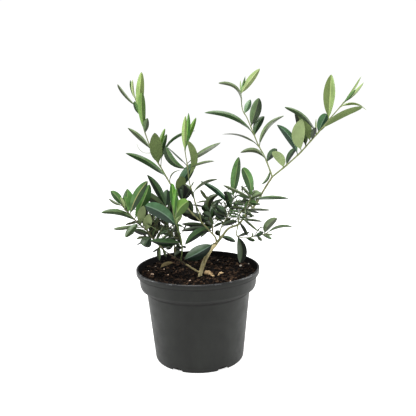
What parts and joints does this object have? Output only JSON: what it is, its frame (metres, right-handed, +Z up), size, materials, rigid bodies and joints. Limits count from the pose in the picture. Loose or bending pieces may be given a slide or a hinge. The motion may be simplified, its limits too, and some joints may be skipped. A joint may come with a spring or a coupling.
{
  "type": "potted olive tree",
  "caption": "Young olive tree with a short forked trunk and loose leafy shoots, growing in peat in a round collared plastic nursery pot.",
  "frame": {"origin": "middle of the flat foot in the centre of the pot's underside, at the level the pot stands on", "axes": "+Z up along the pot's axis, +X to the right and +Y to the back as the plant is seen from its front"},
  "size_m": [0.3465, 0.1767, 0.3994],
  "materials": {
    "pot_plastic": "satin black",
    "peat": "rough and crumbly",
    "bark": "matt, lightly fissured",
    "olive_leaf": "leathery, satin"
  },
  "bodies": {
    "root": {"pot": "pot_plastic", "soil": "peat", "trunk": "bark", "low_left_bough": "bark", "left_bough": "bark", "right_bough": "bark", "low_left_foliage": "olive_leaf", "tall_left_foliage": "olive_leaf", "second_left_foliage": "olive_leaf", "bright_foliage": "olive_leaf", "upper_middle_foliage": "olive_leaf", "right_foliage": "olive_leaf", "middle_right_foliage": "olive_leaf", "middle_foliage": "olive_leaf", "low_right_foliage": "olive_leaf", "fork_foliage": "olive_leaf", "back_foliage": "olive_leaf", "back_left_foliage": "olive_leaf", "back_right_foliage": "olive_leaf", "inner_left_foliage": "olive_leaf"}
  },
  "joints": []
}
